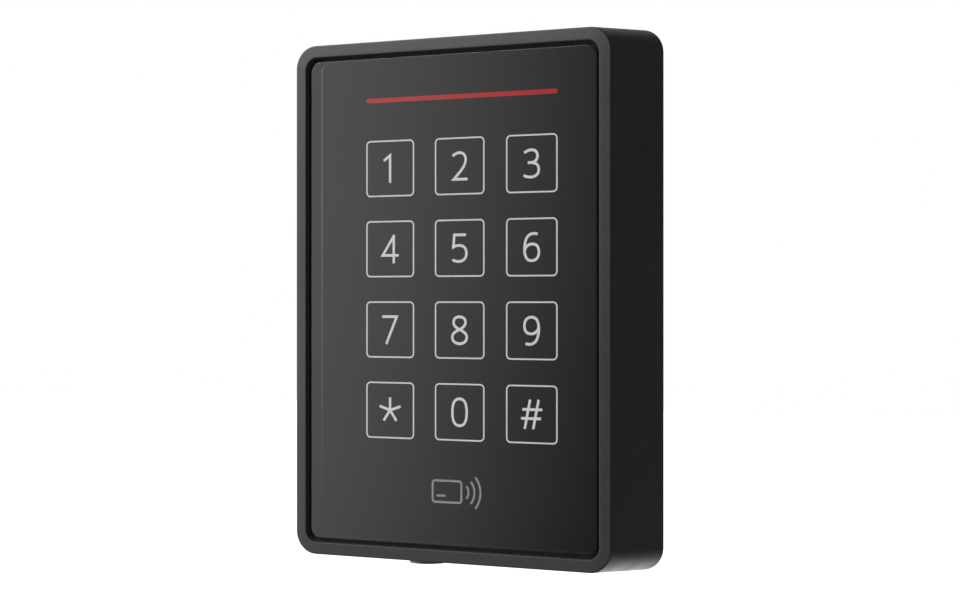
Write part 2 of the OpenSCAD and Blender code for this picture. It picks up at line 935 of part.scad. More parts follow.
module lug_insert() {
    color([0.8, 0.65, 0.3])
        translate([screw_x, screw_y, lug_bottom])
            difference() {
                cylinder(h = lug_top - lug_bottom, r = insert_r);
                translate([0, 0, -past])
                    cylinder(h = lug_top - lug_bottom + 2 * past, r = screw_r + fit);
            }
}

module screw_washer() {
    color([0.12, 0.12, 0.12])
        translate([screw_x, screw_y, washer_top - washer_t])
            difference() {
                cylinder(h = washer_t, r = washer_r);
                translate([0, 0, -past])
                    cylinder(h = washer_t + 2 * past, r = screw_r + 2 * fit);
            }
}

// Flat-headed screw with a six-lobed drive and a centre post.
module securing_screw() {
    color([0.2, 0.2, 0.2])
        translate([screw_x, screw_y, head_top])
            difference() {
                union() {
                    translate([0, 0, -head_t])
                        cylinder(h = head_t, r = screw_head_r);
                    cylinder(h = shank_top - head_top, r = screw_r);
                }
                translate([0, 0, -head_t - past])
                    difference() {
                        union() {
                            cylinder(h = past + drive_depth, r = drive_r);
                            for (a = [0:60:300])
                                rotate(a)
                                    translate([drive_r - fit, 0, 0])
                                        cylinder(h = past + drive_depth, r = drive_lobe_r);
                        }
                        cylinder(h = 2 * past + drive_depth, r = drive_post_r);
                    }
            }
}

front_housing();
front_cover();
cover_gasket();
legend_sheet();
light_bar_lens();
light_guide();
key_leds();
bar_leds();
touch_electrodes();
sensor_board();
touch_controller();
sensor_tape();
antenna_board();
antenna_coil();
ferrite_sheet();
board_socket();
board_plug();
main_board();
board_screws();
microcontroller();
reader_chip();
radio_module();
buzzer();
bulk_capacitors();
power_inductor();
crystal();
tamper_switch();
tamper_plunger();
tamper_spring();
terminal_header();
header_pins();
terminal_plug();
terminal_screws();
terminal_gasket();
rear_cover();
rear_seal();
rear_cover_screws();
vent_membrane();
hinge_pins();
wall_bracket();
wall_gasket();
lug_insert();
screw_washer();
securing_screw();
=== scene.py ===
"""Keypad access reader: the looks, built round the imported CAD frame. Metres, +Z up, +Y into the wall."""
import json
import math

import bmesh
import bpy
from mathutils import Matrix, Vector


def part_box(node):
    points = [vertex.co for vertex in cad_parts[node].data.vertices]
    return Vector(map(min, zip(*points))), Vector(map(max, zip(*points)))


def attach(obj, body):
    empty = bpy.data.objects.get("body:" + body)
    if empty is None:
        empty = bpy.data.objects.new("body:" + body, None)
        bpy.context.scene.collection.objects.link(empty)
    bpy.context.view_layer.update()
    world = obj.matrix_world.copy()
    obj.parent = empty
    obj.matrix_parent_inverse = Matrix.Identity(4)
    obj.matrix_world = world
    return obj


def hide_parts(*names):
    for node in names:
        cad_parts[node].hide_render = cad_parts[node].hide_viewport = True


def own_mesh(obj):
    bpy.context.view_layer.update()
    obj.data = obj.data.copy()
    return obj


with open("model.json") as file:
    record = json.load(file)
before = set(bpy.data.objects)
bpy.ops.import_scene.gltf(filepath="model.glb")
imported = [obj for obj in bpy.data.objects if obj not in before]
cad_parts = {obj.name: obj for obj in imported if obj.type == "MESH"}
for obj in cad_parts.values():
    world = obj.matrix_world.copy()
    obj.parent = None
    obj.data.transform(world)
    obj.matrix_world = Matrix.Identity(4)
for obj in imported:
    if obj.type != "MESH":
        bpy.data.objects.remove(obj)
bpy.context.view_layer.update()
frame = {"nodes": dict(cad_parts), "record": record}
NODES = frame["nodes"]
SLOTS = {s["node"]: s["material_slot"] for s in frame["record"]["subparts"]}
MM = 0.001


# ---------------------------------------------------------------------------------------------
# Places and sizes in millimetres. Places come from the frame.
# ---------------------------------------------------------------------------------------------
def box_mm(node):
    """Lowest and highest corner of a CAD node, in millimetres."""
    low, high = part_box(node)
    return low / MM, high / MM


def half_size(node):
    """Half the width and half the height of a CAD node."""
    low, high = box_mm(node)
    return (high.x - low.x) / 2, (high.z - low.z) / 2


# Names that end in _W and _H are half widths and half heights.
HOUSING_LOW, HOUSING_HIGH = box_mm("front_housing")
FRONT_Y = HOUSING_LOW.y
REAR_Y = HOUSING_HIGH.y
FLARE = 1.67
CORNER_R = 5.4
BACK_W, BACK_H = half_size("front_housing")
SKIN_W, SKIN_H = BACK_W - FLARE, BACK_H - FLARE
RIM_FALL = 0.15

# The pocket in the front, with the cover in it.
LAYER_GAP = 0.6
LAYER_R = 2.0
LAYER_W, LAYER_H = half_size("legend_sheet")
POCKET_R = 2.95
POCKET_W, POCKET_H = LAYER_W + LAYER_GAP, LAYER_H + LAYER_GAP
CREST_SET_BACK = 0.4
CREST_R = 3.3
COVER_GAP = 1.0
COVER_R = 2.5
COVER_W, COVER_H = POCKET_W - COVER_GAP, POCKET_H - COVER_GAP
COVER_FRONT = box_mm("front_cover")[0].y
COVER_T = 2.5
FOOT_T = 1.0
SKIRT_T = 1.0
PRINT_ROOM = 0.3
LEGEND_Y = box_mm("legend_sheet")[0].y

# The ledge behind the pocket, and the cavity and bay behind the ledge.
LEDGE_OPENING_W, LEDGE_OPENING_H, LEDGE_OPENING_R = 26, 38, 3
LEDGE_FRONT = box_mm("sensor_tape")[1].y
LEDGE_BACK = box_mm("antenna_board")[0].y
CAVITY_W, CAVITY_H, CAVITY_R = SKIN_W - 1.6, SKIN_H - 1.5, 3.6
BAY_WALL_T = 1.5
BAY_R = 2.6
BAY_W, BAY_H = half_size("rear_seal")
SEAL_FRONT = box_mm("rear_seal")[0].y
REAR_COVER_FRONT = box_mm("rear_seal")[1].y
BOARD_FRONT = box_mm("main_board")[0].y

# How far the bay wall and the bosses run into the ledge they stand on.
OVERLAP = 0.1

# The printed legends. The middle of the key grid is the middle of the touch electrodes.
PAD_LOW, PAD_HIGH = box_mm("touch_electrodes")
KEY_PITCH = 19.05
KEY_SIZE = 13.0
KEY_STROKE = 0.345
KEY_CORNER = 0.98
KEY_MID_Z = (PAD_LOW.z + PAD_HIGH.z) / 2
KEYS = ("123", "456", "789", "*0#")
GLYPH_STROKE = 0.63
STAR_ARM = 3.05
PRINT_T = 0.03
MARK_Z = -44.6
MARK_STROKE = 0.5

# The spring of the tamper plunger.
SPRING_WIRE_R = 0.2
SPRING_TURNS = 3.5


# ---------------------------------------------------------------------------------------------
# Meshes
# ---------------------------------------------------------------------------------------------
def smooth(mesh):
    """Smooth shading that keeps the edges sharper than 35 degrees hard."""
    mesh.polygons.foreach_set("use_smooth", [True] * len(mesh.polygons))
    mesh.set_sharp_from_angle(angle=math.radians(35))


def placed(name, mesh):
    """A mesh as an object in the scene."""
    made = bpy.data.objects.new(name, mesh)
    bpy.context.scene.collection.objects.link(made)
    return made


def mesh_object(name, verts, faces):
    """A smooth-shaded object from points in millimetres, with normals outwards and hard edges kept."""
    mesh = bpy.data.meshes.new(name)
    mesh.from_pydata([Vector(v) * MM for v in verts], [], faces)
    work = bmesh.new()
    work.from_mesh(mesh)
    bmesh.ops.remove_doubles(work, verts=work.verts, dist=1e-7)
    bmesh.ops.recalc_face_normals(work, faces=work.faces)
    work.to_mesh(mesh)
    work.free()
    smooth(mesh)
    return placed(name, mesh)


def outline(half_w, half_h, radius, y, steps=14):
    """Points round a rounded rectangle at depth y."""
    points = []
    for turn, (side_x, side_z) in enumerate(((1, 1), (-1, 1), (-1, -1), (1, -1))):
        for i in range(steps + 1):
            angle = math.radians(90 * turn + 90 * i / steps)
            points.append((side_x * (half_w - radius) + radius * math.cos(angle), y,
                           side_z * (half_h - radius) + radius * math.sin(angle)))
    return points


def eased(profile, closed, steps=5):
    """A profile of (half_w, half_h, radius, y, ease) with each corner rounded over its ease."""
    count = len(profile)
    path = []
    for i, corner in enumerate(profile):
        here, ease = corner[:4], corner[4]
        if ease == 0 or (not closed and i in (0, count - 1)):
            path.append(here)
            continue
        ends = []
        for other in (profile[i - 1][:4], profile[(i + 1) % count][:4]):
            step = [b - a for a, b in zip(here, other)]
            length = math.hypot(step[0], step[3])
            ends.append([a + s * ease / length for a, s in zip(here, step)])
        for k in range(steps + 1):
            t = k / steps
            path.append([(1 - t) ** 2 * a + 2 * t * (1 - t) * b + t * t * c
                         for a, b, c in zip(ends[0], here, ends[1])])
    return path


def sweep(name, profile, closed=True):
    """A profile carried round rounded rectangles: a frame if closed, otherwise a plate with flat ends."""
    rings = [outline(*ring) for ring in eased(profile, closed)]
    verts = [point for ring in rings for point in ring]
    around = len(rings[0])
    last = len(rings) if closed else len(rings) - 1
    faces = []
    for i in range(last):
        a, b = i * around, (i + 1) % len(rings) * around
        for k in range(around):
            n = (k + 1) % around
            faces.append((a + k, a + n, b + n, b + k))
    if not closed:
        faces.append(tuple(range(around)))
        faces.append(tuple(reversed(range((len(rings) - 1) * around, len(rings) * around))))
    return mesh_object(name, verts, faces)


def tube_y(name, x, z, outer, inner, y0, y1, steps=32):
    """A hollow boss along Y, open at both ends."""
    rings = ((outer, y0), (outer, y1), (inner, y1), (inner, y0))
    verts, faces = [], []
    for radius, y in rings:
        for k in range(steps):
            angle = 2 * math.pi * k / steps
            verts.append((x + radius * math.cos(angle), y, z + radius * math.sin(angle)))
    for i in range(len(rings)):
        a, b = i * steps, (i + 1) % len(rings) * steps
        for k in range(steps):
            n = (k + 1) % steps
            faces.append((a + k, a + n, b + n, b + k))
    return mesh_object(name, verts, faces)


def prism(name, points, axis, low, high):
    """A closed outline pulled along an axis: points are the other two coordinates in X, Y, Z order."""
    def place(p, along):
        full = list(p)
        full.insert(axis, along)
        return tuple(full)

    count = len(points)
    verts = [place(p, low) for p in points] + [place(p, high) for p in points]
    faces = [tuple(range(count)), tuple(reversed(range(count, 2 * count)))]
    for k in range(count):
        n = (k + 1) % count
        faces.append((k, n, count + n, count + k))
    return mesh_object(name, verts, faces)


def join(name, objects):
    """Several mesh objects as one."""
    mesh = bpy.data.meshes.new(name)
    work = bmesh.new()
    for piece in objects:
        work.from_mesh(piece.data)
        bpy.data.objects.remove(piece)
    work.to_mesh(mesh)
    work.free()
    smooth(mesh)
    return placed(name, mesh)


def combine(target, others, operation, use_self=False):
    """Joins the others to the target or cuts them out of it, and removes them."""
    for other in others:
        step = target.modifiers.new("step", "BOOLEAN")
        step.operation = operation
        step.solver = "EXACT"
        step.use_self = use_self
        step.object = other
    graph = bpy.context.evaluated_depsgraph_get()
    mesh = bpy.data.meshes.new_from_object(target.evaluated_get(graph))
    target.modifiers.clear()
    target.data = mesh
    for other in others:
        bpy.data.objects.remove(other)


# ---------------------------------------------------------------------------------------------
# Materials
# ---------------------------------------------------------------------------------------------
class Shader:
    """A Principled material with a node tree that is built a step at a time."""

    def __init__(self, name, **constants):
        self.material = bpy.data.materials.new(name)
        self.material.use_nodes = True
        self.tree = self.material.node_tree
        self.surface = self.tree.nodes["Principled BSDF"]
        self.place = self.add("ShaderNodeTexCoord").outputs["Object"]
        for key, value in constants.items():
            self.surface.inputs[key.replace("_", " ")].default_value = value

    def add(self, kind, **settings):
        node = self.tree.nodes.new(kind)
        for key, value in settings.items():
            setattr(node, key, value)
        return node

    def link(self, source, target):
        self.tree.links.new(source, target)

    def stretched(self, scale):
        """The place in the row frame, scaled differently along X, Y and Z."""
        node = self.add("ShaderNodeMapping")
        node.inputs["Scale"].default_value = scale
        self.link(self.place, node.inputs["Vector"])
        return node.outputs["Vector"]

    def axes(self):
        """The place in the row frame as three values, by the letters X, Y and Z."""
        node = self.add("ShaderNodeSeparateXYZ")
        self.link(self.place, node.inputs[0])
        return node.outputs

    def maths(self, operation, first, second=None):
        """A sum on a value; the second is another value or a number."""
        node = self.add("ShaderNodeMath", operation=operation)
        self.link(first, node.inputs[0])
        if isinstance(second, bpy.types.NodeSocket):
            self.link(second, node.inputs[1])
        elif second is not None:
            node.inputs[1].default_value = second
        return node.outputs[0]

    def noise(self, size_mm, detail=2.0, rough=0.5, place=None):
        """Noise with features of about that size."""
        node = self.add("ShaderNodeTexNoise")
        node.inputs["Scale"].default_value = 1 / (size_mm * MM)
        node.inputs["Detail"].default_value = detail
        node.inputs["Roughness"].default_value = rough
        self.link(place or self.place, node.inputs["Vector"])
        return node.outputs["Fac"]

    def spread(self, value, low, high, start=0.3, end=0.7):
        """A value between start and end mapped to between low and high."""
        node = self.add("ShaderNodeMapRange")
        for key, number in (("From Min", start), ("From Max", end), ("To Min", low), ("To Max", high)):
            node.inputs[key].default_value = number
        self.link(value, node.inputs["Value"])
        return node.outputs["Result"]

    def blend(self, value, first, second):
        """A colour between two, by a value from 0 to 1."""
        node = self.add("ShaderNodeMix", data_type="RGBA")
        self.link(value, node.inputs["Factor"])
        for socket, colour in ((node.inputs[6], first), (node.inputs[7], second)):
            if isinstance(colour, bpy.types.NodeSocket):
                self.link(colour, socket)
            else:
                socket.default_value = (*colour, 1)
        return node.outputs[2]

    def colour(self, value):
        self.link(value, self.surface.inputs["Base Color"])

    def roughness(self, value):
        self.link(value, self.surface.inputs["Roughness"])

    def bump(self, height, depth_mm, strength=1.0, under=None):
        """Relief of that depth; under is another bump's normal."""
        node = self.add("ShaderNodeBump")
        node.inputs["Strength"].default_value = strength
        node.inputs["Distance"].default_value = depth_mm * MM
        self.link(height, node.inputs["Height"])
        if under is not None:
            self.link(under, node.inputs["Normal"])
        self.link(node.outputs["Normal"], self.surface.inputs["Normal"])
        return node.outputs["Normal"]


def moulded(name, base, rough, grain_mm=0.3, grain_depth=0.012, **constants):
    """Moulded plastic with a fine spark texture, a faint cloudy tone and slight wear in its sheen."""
    m = Shader(name, **constants)
    cloud = m.spread(m.noise(14, 3), 0, 1)
    darker = [c * 0.86 for c in base]
    lighter = [c * 1.12 for c in base]
    m.colour(m.blend(cloud, darker, lighter))
    m.roughness(m.spread(m.noise(5, 4), rough - 0.05, rough + 0.05))
    coarse = m.bump(m.noise(grain_mm * 2.2, 2), grain_depth, 0.5)
    m.bump(m.noise(grain_mm, 3, 0.6), grain_depth, 0.8, coarse)
    return m.material


def housing_plastic():
    """Satin black moulding: a fine spark grain, painted light on the walls of the gap round the cover,
    painted shade on the rear edge.
    """
    m = Shader("housing_plastic")
    cloud = m.spread(m.noise(14, 3), 0, 1)
    hollows = m.blend(cloud, (0.019, 0.019, 0.020), (0.025, 0.025, 0.026))
    peaks = m.blend(cloud, (0.031, 0.031, 0.032), (0.041, 0.041, 0.042))
    tone = m.blend(m.spread(m.noise(0.45, 2, 0.7), 0, 1), hollows, peaks)
    axes = m.axes()
    # Painted light: the walls of the gap round the cover, from 0.5 mm in, get a lighter grey that stands in
    # for light in the gap.
    gap_light_from, gap_light_full, margin = FRONT_Y + 0.2, FRONT_Y + 0.5, 0.05
    painted_light_mask = m.spread(axes["Y"], 0, 1, gap_light_from * MM, gap_light_full * MM)
    for letter, wall in (("X", POCKET_W), ("Z", POCKET_H)):
        within = m.maths("LESS_THAN", m.maths("ABSOLUTE", axes[letter]), (wall + margin) * MM)
        painted_light_mask = m.maths("MULTIPLY", painted_light_mask, within)
    gap_painted_light = m.blend(m.spread(m.noise(0.6, 3), 0, 1), (0.06, 0.06, 0.06), (0.09, 0.09, 0.09))
    # Painted shade: the last 0.6 mm of the rear edge is painted nearly black, for the shade where the edge
    # turns away from the light.
    rear_shade_from, rear_shade_full = REAR_Y - 0.6, REAR_Y - 0.3
    painted_rear_shade = m.spread(axes["Y"], 0, 1, rear_shade_from * MM, rear_shade_full * MM)
    m.colour(m.blend(painted_rear_shade, m.blend(painted_light_mask, tone, gap_painted_light), (0.010, 0.010, 0.010)))
    m.roughness(m.spread(m.noise(5, 4), 0.42, 0.50))
    coarse = m.bump(m.noise(0.66, 2), 0.012, 0.6)
    m.bump(m.noise(0.3, 3, 0.6), 0.012, 1.0, coarse)
    return m.material


def glossy(name, base, rough, **constants):
    """Smooth plastic with faint flow marks."""
    m = Shader(name, **constants)
    m.colour(m.blend(m.spread(m.noise(9, 2), 0, 1), [c * 0.92 for c in base], [c * 1.06 for c in base]))
    m.roughness(m.spread(m.noise(3, 3), rough * 0.7, rough * 1.5))
    m.bump(m.noise(6, 2), 0.01, 0.3)
    return m.material


def smoked_cover(name, alpha, specular):
    """Tinted, see-through and glossy, with faint smears in its sheen."""
    m = Shader(name, Alpha=alpha, IOR=1.5, Specular_IOR_Level=specular)
    m.colour(m.blend(m.spread(m.noise(30, 1), 0, 1), (0.006, 0.006, 0.0065), (0.009, 0.009, 0.0095)))
    smear = m.noise(7, 4, 0.6, m.stretched((1.0, 1.0, 0.45)))
    m.roughness(m.spread(smear, 0.035, 0.085, 0.4, 0.75))
    m.bump(m.noise(40, 0), 0.02, 0.3)
    return m.material


def film():
    """Satin black film: fine grain under a slight orange peel."""
    m = Shader("legend_film", Specular_IOR_Level=0.15)
    m.colour(m.blend(m.spread(m.noise(1.5, 2), 0, 1), (0.009, 0.009, 0.0092), (0.011, 0.011, 0.0112)))
    m.roughness(m.spread(m.noise(6, 3), 0.6, 0.7))
    m.bump(m.noise(3, 2), 0.01, 0.3)
    return m.material


def lit_print(name, colour, strength, blotch=0.06):
    """Back-lit printing: light comes through the ink a little unevenly."""
    m = Shader(name, Roughness=0.6, Emission_Strength=strength)
    m.material.cycles.emission_sampling = "NONE"
    dim = [c * (1 - blotch) for c in colour]
    tone = m.blend(m.spread(m.noise(2.5, 2), 0, 1), dim, colour)
    m.colour(tone)
    m.link(tone, m.surface.inputs["Emission Color"])
    m.roughness(m.spread(m.noise(1, 2), 0.5, 0.65))
    m.bump(m.noise(0.2, 2), 0.003, 0.4)
    return m.material


def film_edge_painted_highlight():
    """The film's cut edge with a painted highlight, given by emission: most at the upper left, none lower
    down.
    """
    m = Shader("film_edge", Roughness=0.5, Emission_Strength=0.3)
    m.colour(m.blend(m.spread(m.noise(4, 2), 0, 1), (0.42, 0.42, 0.43), (0.48, 0.48, 0.49)))
    axes = m.axes()
    none_below, full_above = -50, 20
    full_left_of, none_right_of = -37, -34
    upwards = m.spread(axes["Z"], 0, 1, none_below * MM, full_above * MM)
    leftwards = m.spread(axes["X"], 1, 0, full_left_of * MM, none_right_of * MM)
    # Painted highlight: emission only at the upper left of the edge.
    painted_highlight = m.blend(m.maths("MULTIPLY", upwards, leftwards), (0, 0, 0), (0.95, 0.95, 0.95))
    m.link(painted_highlight, m.surface.inputs["Emission Color"])
    m.material.cycles.emission_sampling = "NONE"
    m.bump(m.noise(0.6, 2), 0.01, 0.3)
    return m.material


def metal(name, base, rough, grain=(1.0, 1.0, 14.0), **constants):
    """Plated or drawn metal with a fine grain along one direction."""
    m = Shader(name, Metallic=1.0, **constants)
    streak = m.noise(1.2, 4, 0.6, m.stretched(grain))
    m.colour(m.blend(m.spread(m.noise(3, 2), 0, 1), [c * 0.85 for c in base], base))
    m.roughness(m.spread(streak, rough * 0.7, rough * 1.4))
    m.bump(streak, 0.004, 0.5)
    return m.material


def circuit_board():
    """Green resist over copper: tracks show as a slightly lighter, raised pattern."""
    m = Shader("circuit_board", IOR=1.5)
    turned = m.add("ShaderNodeMapping")
    turned.inputs["Rotation"].default_value = (math.radians(90), 0, 0)
    m.link(m.place, turned.inputs["Vector"])
    tracks = m.add("ShaderNodeTexBrick", offset=0.37, squash=0.6)
    tracks.inputs["Scale"].default_value = 160
    tracks.inputs["Mortar Size"].default_value = 0.045
    tracks.inputs["Mortar Smooth"].default_value = 0.1
    m.link(turned.outputs["Vector"], tracks.inputs["Vector"])
    weave = m.spread(m.noise(0.5, 1), 0, 1)
    resist = m.blend(weave, (0.008, 0.06, 0.028), (0.011, 0.08, 0.036))
    m.colour(m.blend(tracks.outputs["Fac"], resist, (0.03, 0.15, 0.07)))
    m.roughness(m.spread(m.noise(2, 2), 0.22, 0.34))
    m.bump(tracks.outputs["Fac"], 0.03, 0.6)
    return m.material


def foam(name, base, cell_mm=0.5):
    """Closed-cell foam or rubber with small pits."""
    m = Shader(name, IOR=1.45)
    cells = m.add("ShaderNodeTexVoronoi")
    cells.inputs["Scale"].default_value = 1 / (cell_mm * MM)
    m.link(m.place, cells.inputs["Vector"])
    pits = m.spread(cells.outputs["Distance"], 0, 1, 0.1, 0.6)
    # Painted shade: the pits are painted darker as well as bumped.
    m.colour(m.blend(pits, [c * 0.6 for c in base], base))
    m.roughness(m.spread(m.noise(1, 2), 0.75, 0.92))
    m.bump(pits, 0.04, 0.5)
    return m.material


def ferrite():
    """Dull sintered grey with small crystals."""
    m = Shader("ferrite", IOR=1.6)
    m.colour(m.blend(m.spread(m.noise(0.4, 4), 0, 1), (0.03, 0.029, 0.028), (0.06, 0.058, 0.055)))
    m.roughness(m.spread(m.noise(1, 3), 0.45, 0.7))
    m.bump(m.noise(0.3, 3), 0.02, 0.6)
    return m.material


def make_materials():
    """One material for each slot in the record, and a few for the printed pieces."""
    return {
        "housing_plastic": housing_plastic(),
        "smoked_cover": smoked_cover("smoked_cover", 0.8, 0.70),
        # The cover's outer wall: a lighter grey than the cover, painted light for the narrow shaded gap it
        # faces.
        "smoked_rim": glossy("smoked_rim", (0.085, 0.085, 0.088), 0.4, Alpha=0.9),
        "smoked_inside": smoked_cover("smoked_inside", 0.05, 0.3),
        "legend_film": film(),
        "red_lens": lit_print("red_lens", (0.95, 0.003, 0.004), 1.7, 0.03),
        "clear_acrylic": glossy("clear_acrylic", (0.6, 0.65, 0.67), 0.08),
        "led_body": glossy("led_body", (0.75, 0.72, 0.5), 0.25),
        "copper": metal("copper", (0.72, 0.36, 0.18), 0.3),
        "circuit_board": circuit_board(),
        "chip_plastic": moulded("chip_plastic", (0.015, 0.015, 0.016), 0.6, 0.2, 0.006),
        "white_plastic": moulded("white_plastic", (0.62, 0.62, 0.58), 0.5, 0.4, 0.006),
        "ferrite": ferrite(),
        "connector_plastic": moulded("connector_plastic", (0.5, 0.46, 0.36), 0.5, 0.3, 0.006),
        "zinc_steel": metal("zinc_steel", (0.62, 0.62, 0.60), 0.28),
        "can_metal": metal("can_metal", (0.7, 0.7, 0.71), 0.3, (14.0, 1.0, 1.0)),
        "terminal_green": moulded("terminal_green", (0.02, 0.16, 0.06), 0.42, 0.3, 0.006),
        "brass": metal("brass", (0.72, 0.52, 0.22), 0.25),
        "foam_rubber": foam("foam_rubber", (0.016, 0.016, 0.016)),
        "seal_rubber": foam("seal_rubber", (0.02, 0.02, 0.02), 0.25),
        "rear_plastic": moulded("rear_plastic", (0.022, 0.022, 0.023), 0.5, 0.45, 0.012),
        "bracket_plastic": moulded("bracket_plastic", (0.030, 0.030, 0.032), 0.48, 0.5, 0.015),
        "black_steel": metal("black_steel", (0.2, 0.2, 0.205), 0.62),
        "lit_legend": lit_print("lit_legend", (0.98, 0.98, 0.98), 2.68),
        "lit_mark": lit_print("lit_mark", (0.48, 0.48, 0.48), 2.1),
        "film_edge": film_edge_painted_highlight(),
        "gap_rubber": foam("gap_rubber", (0.035, 0.035, 0.035), 0.3),
    }


MATERIALS = make_materials()


def finish_piece(piece, body, slot_name, material=None, stands_for=()):
    """Gives a new piece its material, weighted normals and its body, and hides the CAD nodes it stands for.
    """
    piece.data.materials.clear()
    piece.data.materials.append(MATERIALS[material or slot_name])
    even = piece.modifiers.new("even", "WEIGHTED_NORMAL")
    even.keep_sharp = True
    even.weight = 100
    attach(piece, body)
    if stands_for:
        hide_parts(*stands_for)
    return piece


# ---------------------------------------------------------------------------------------------
# Housing
# ---------------------------------------------------------------------------------------------
def u_shape(x, y, radius, end, steps=24):
    """A slot outline in X and Y: round at (x, y) and open past y = end."""
    arc = [(x + radius * math.cos(a), y + radius * math.sin(a))
           for a in (math.pi + math.pi * k / steps for k in range(steps + 1))]
    return arc + [(x + radius, end), (x - radius, end)]


def front_housing():
    """The flared shell with its eased rim, the ledge, and the slot for the securing screw."""
    shell = sweep("front_housing_shell", [
        (SKIN_W, SKIN_H, CORNER_R, FRONT_Y + RIM_FALL, 0.3),
        (BACK_W, BACK_H, CORNER_R, REAR_Y, 0.3),
        (CAVITY_W, CAVITY_H, CAVITY_R, REAR_Y, 0.25),
        (CAVITY_W, CAVITY_H, CAVITY_R, LEDGE_BACK, 0.3),
        (LEDGE_OPENING_W, LEDGE_OPENING_H, LEDGE_OPENING_R, LEDGE_BACK, 0.2),
        (LEDGE_OPENING_W, LEDGE_OPENING_H, LEDGE_OPENING_R, LEDGE_FRONT, 0.2),
        (POCKET_W, POCKET_H, POCKET_R, LEDGE_FRONT, 0.2),
        (POCKET_W, POCKET_H, POCKET_R, FRONT_Y, 0.15),
        (POCKET_W + CREST_SET_BACK, POCKET_H + CREST_SET_BACK, CREST_R, FRONT_Y, 0.2),
    ])
    cut_screw_slot(shell)
    bay_start = LEDGE_BACK - OVERLAP
    inner_w, inner_h, inner_r = BAY_W - BAY_WALL_T, BAY_H - BAY_WALL_T, BAY_R - BAY_WALL_T
    bay_wall = sweep("bay_wall", [
        (BAY_W, BAY_H, BAY_R, bay_start, 0),
        (BAY_W, BAY_H, BAY_R, SEAL_FRONT, 0.2),
        (inner_w, inner_h, inner_r, SEAL_FRONT, 0.2),
        (inner_w, inner_h, inner_r, bay_start, 0),
    ])
    parts = [shell, bay_wall, *bosses(bay_start), *hinge_ribs()]
    finish_piece(join("housing", parts), "reader", "housing_plastic", stands_for=["front_housing"])


def cut_screw_slot(shell):
    """Cuts the securing screw's slot and the seat for its head into the bottom wall, open to the rear."""
    slot_r, head_room, washer_room, past = 2.2, 0.35, 0.05, 2
    low, high = box_mm("securing_screw")
    x, y = (low.x + high.x) / 2, (low.y + high.y) / 2
    seat_r = (high.x - low.x) / 2 + head_room
    seat_top = box_mm("screw_washer")[1].z + washer_room
    below, inside = -BACK_H - past, -CAVITY_H + 1
    combine(shell, [
        prism("slot_cutter", u_shape(x, y, slot_r, REAR_Y + past), 2, below, inside),
        prism("seat_cutter", u_shape(x, y, seat_r, REAR_Y + past), 2, below, seat_top),
    ], "DIFFERENCE")
    smooth(shell.data)


def bosses(start):
    """Six bosses for the rear cover's screws and four for the main board's, from the ledge backwards."""
    made = []
    cover_head_r, board_head_r = 2.2, 2.1
    high = box_mm("rear_cover_screws")[1]
    x, z = high.x - cover_head_r, high.z - cover_head_r
    for boss_x in (-x, 0, x):
        for boss_z in (-z, z):
            made.append(tube_y("boss", boss_x, boss_z, 2.6, 1.3, start, REAR_COVER_FRONT))
    low, high = box_mm("board_screws")
    for boss_x in (low.x + board_head_r, high.x - board_head_r):
        for boss_z in (low.z + board_head_r, high.z - board_head_r):
            made.append(tube_y("boss", boss_x, boss_z, 2.3, 1.25, start, BOARD_FRONT))
    return made


def hinge_ribs():
    """Two ribs beside each hook of the bracket, which hold the hinge pins."""
    rib_r, rib_t, hook_x, hook_half, into_wall, steps = 1.85, 1.1, 24.5, 3.8, 0.5, 16
    low, high = box_mm("hinge_pins")
    y, z = (low.y + high.y) / 2, (low.z + high.z) / 2
    top = CAVITY_H + into_wall
    hook = [(y - rib_r * math.cos(a), z - rib_r * math.sin(a))
            for a in (math.pi * k / steps for k in range(steps + 1))]
    hook += [(y + rib_r, top), (y - rib_r, top)]
    made = []
    for side in (-1, 1):
        for edge in (-1, 1):
            start = side * hook_x + edge * (hook_half + rib_t / 2) - rib_t / 2
            made.append(prism("rib", hook, 0, start, start + rib_t))
    return made


def front_cover():
    """The smoked cover: a shallow dish with an eased front edge, a skirt and a small foot.

    Its tint is all on the front face, its outer wall is duller and painted a lighter grey as painted light
    for the shaded gap round it, and its inside is nearly clear.
    """
    back = LEGEND_Y - PRINT_ROOM
    foot_front = LEGEND_Y - FOOT_T
    inside = COVER_FRONT + COVER_T
    inner_w, inner_h, inner_r = COVER_W - SKIRT_T, COVER_H - SKIRT_T, COVER_R - SKIRT_T
    flat_in, flat_r = 4, 0.5
    cover = sweep("cover", [
        (COVER_W - flat_in, COVER_H - flat_in, flat_r, COVER_FRONT, 0),
        (COVER_W, COVER_H, COVER_R, COVER_FRONT, 0.15),
        (COVER_W, COVER_H, COVER_R, foot_front, 0.1),
        (LAYER_W, LAYER_H, LAYER_R, foot_front, 0.15),
        (LAYER_W, LAYER_H, LAYER_R, back, 0.1),
        (inner_w, inner_h, inner_r, back, 0.1),
        (inner_w, inner_h, inner_r, inside, 0.4),
        (inner_w - flat_in, inner_h - flat_in, flat_r, inside, 0),
    ], closed=False)
    finish_piece(cover, "reader", "smoked_cover", stands_for=["front_cover"])
    cover.data.materials.append(MATERIALS["smoked_inside"])
    cover.data.materials.append(MATERIALS["smoked_rim"])
    inside_slot, rim_slot = 1, 2
    for face in cover.data.polygons:
        outward = face.normal.x * face.center.x + face.normal.z * face.center.z
        if face.normal.y > 0.3 or outward < -MM:
            face.material_index = inside_slot
        elif face.normal.y > -0.5:
            face.material_index = rim_slot


